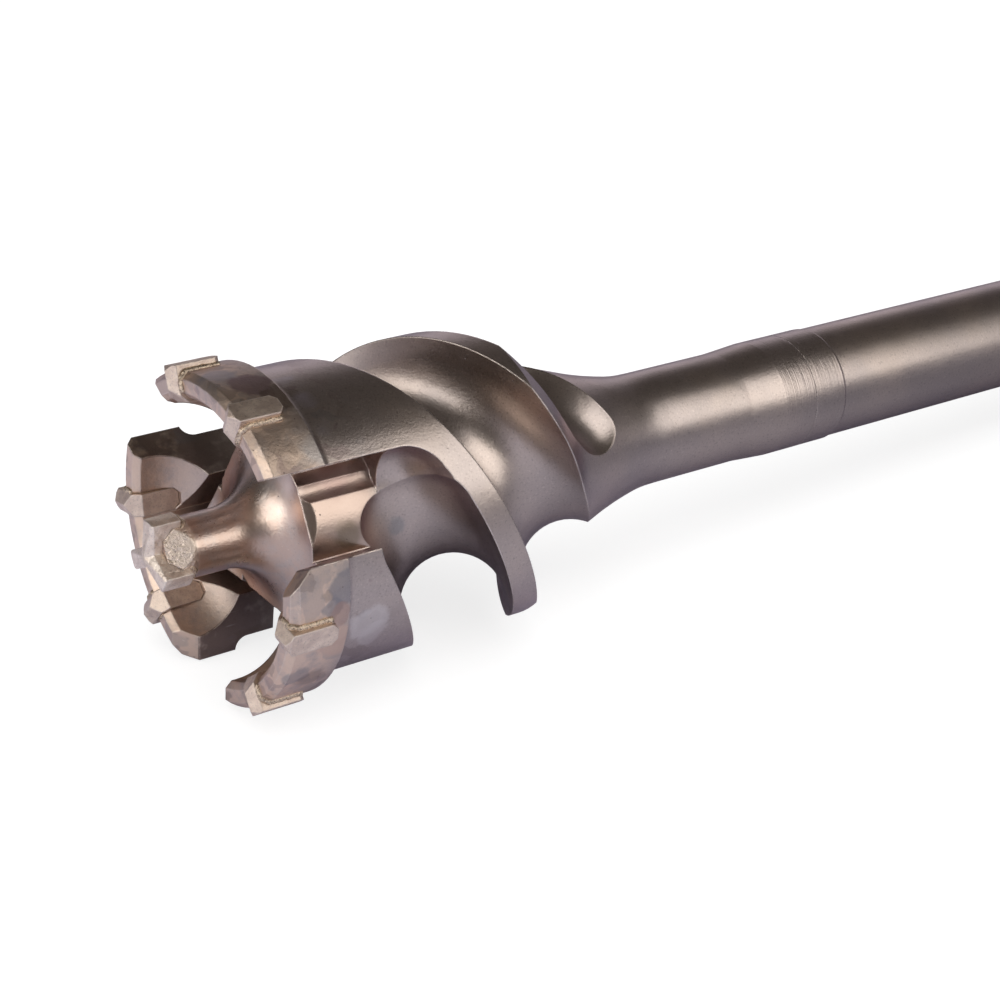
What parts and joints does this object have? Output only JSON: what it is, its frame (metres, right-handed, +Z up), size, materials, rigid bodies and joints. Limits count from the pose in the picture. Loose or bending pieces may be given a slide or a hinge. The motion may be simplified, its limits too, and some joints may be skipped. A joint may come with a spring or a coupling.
{
  "type": "breakthrough drill bit",
  "caption": "Long rotary hammer drill bit with a wide fluted crown head, brazed carbide inserts, a short centring pilot and a grooved shank.",
  "frame": {"origin": "middle of the bounding box on the surface that the bit lies on", "axes": "+X runs along the bit from the head to the shank, +Z up; the bit's own axis falls by about 2.3 degrees towards the shank"},
  "size_m": [0.5498, 0.0646, 0.0617],
  "materials": {
    "head_steel": "blasted gunmetal steel with heat tint",
    "shank_steel": "blasted grey steel",
    "carbide": "matt sintered carbide",
    "pilot_carbide": "matt sintered carbide"
  },
  "bodies": {
    "root": {"drill_head": "head_steel", "shank": "shank_steel", "crown_insert_1": "carbide", "crown_insert_2": "carbide", "crown_insert_3": "carbide", "crown_insert_4": "carbide", "crown_insert_5": "carbide", "crown_insert_6": "carbide", "pilot_insert": "pilot_carbide"}
  },
  "joints": []
}
